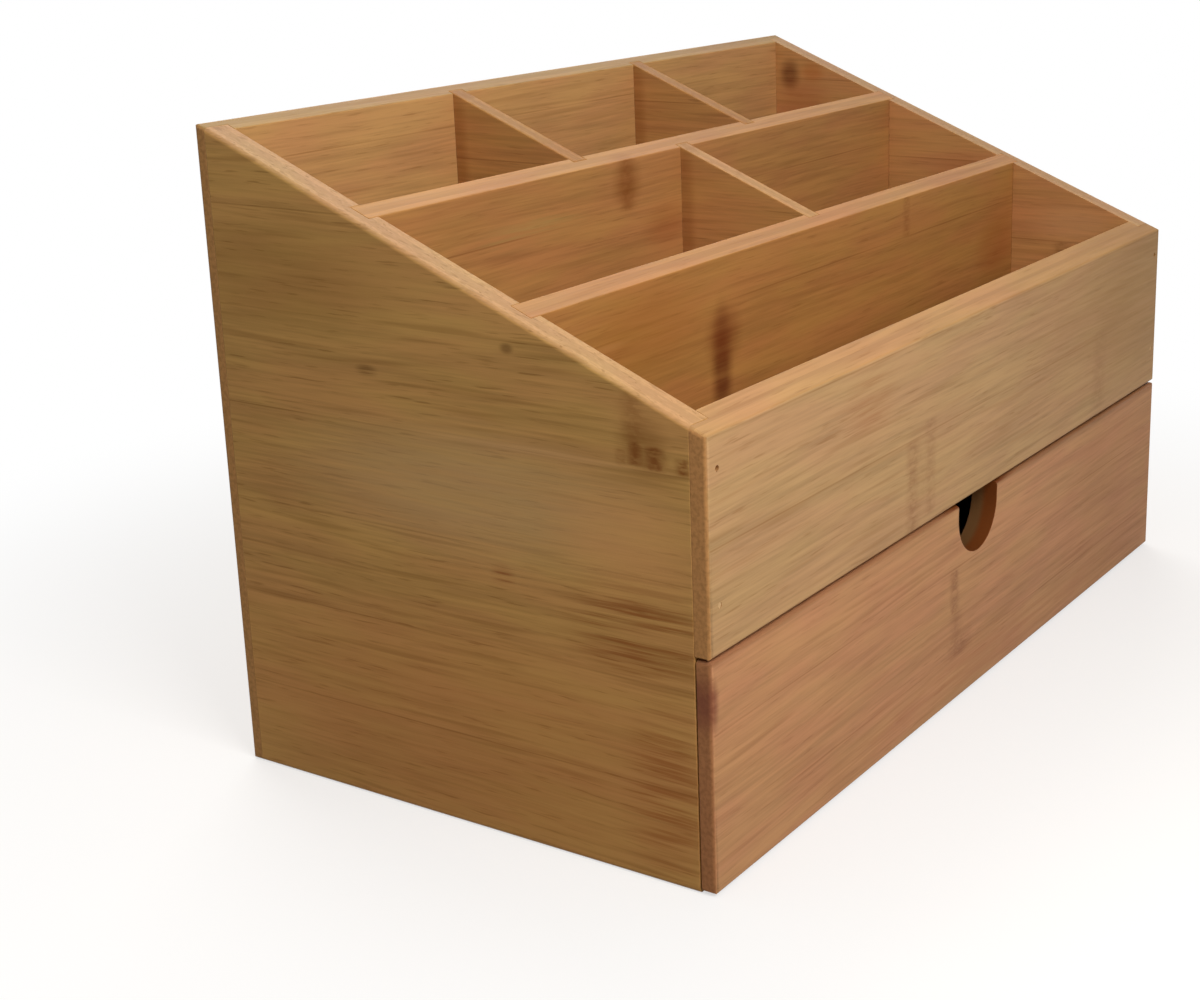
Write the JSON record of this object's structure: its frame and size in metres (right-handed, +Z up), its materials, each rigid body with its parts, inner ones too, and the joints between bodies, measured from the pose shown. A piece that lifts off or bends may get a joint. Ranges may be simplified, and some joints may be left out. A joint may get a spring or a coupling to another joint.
{
  "type": "desk organizer",
  "caption": "Bamboo desk organizer with a sloped open top of divided compartments above a full-width drawer with a finger notch.",
  "frame": {"origin": "middle of the underside, where the organizer stands on the desk", "axes": "+X along the front towards the right end seen from the front, +Y from the front towards the back, +Z up"},
  "size_m": [0.245, 0.13, 0.1495],
  "materials": {
    "bamboo_side": "horizontal-grain laminated bamboo, satin lacquer, olive tan",
    "bamboo_front": "laminated bamboo, satin lacquer, light tan",
    "bamboo_drawer_front": "laminated bamboo, satin lacquer, reddish tan",
    "bamboo_divider": "laminated bamboo, satin lacquer, warm honey",
    "bamboo_back": "laminated bamboo, satin lacquer, tan",
    "bamboo_drawer_box": "laminated bamboo, thin lacquer, tan",
    "brad_steel": "plain drawn steel wire"
  },
  "bodies": {
    "case": {"side_left": "bamboo_side", "side_right": "bamboo_side", "back_panel": "bamboo_back", "front_panel": "bamboo_front", "shelf": "bamboo_divider", "base_panel": "bamboo_back", "rear_long_divider": "bamboo_divider", "front_long_divider": "bamboo_divider", "rear_left_cross_divider": "bamboo_divider", "rear_right_cross_divider": "bamboo_divider", "middle_cross_divider": "bamboo_divider", "front_panel_brads": "brad_steel", "back_panel_brads": "brad_steel", "base_panel_brads": "brad_steel"},
    "drawer": {"drawer_front": "bamboo_drawer_front", "drawer_side_left": "bamboo_drawer_box", "drawer_side_right": "bamboo_drawer_box", "drawer_back": "bamboo_drawer_box", "drawer_bottom": "bamboo_drawer_box", "drawer_brads": "brad_steel"}
  },
  "joints": [
    {"name": "drawer_slide", "type": "slide", "parent": "case", "child": "drawer", "axis": [0, -1, 0], "range_m": [0, 0.1]}
  ]
}
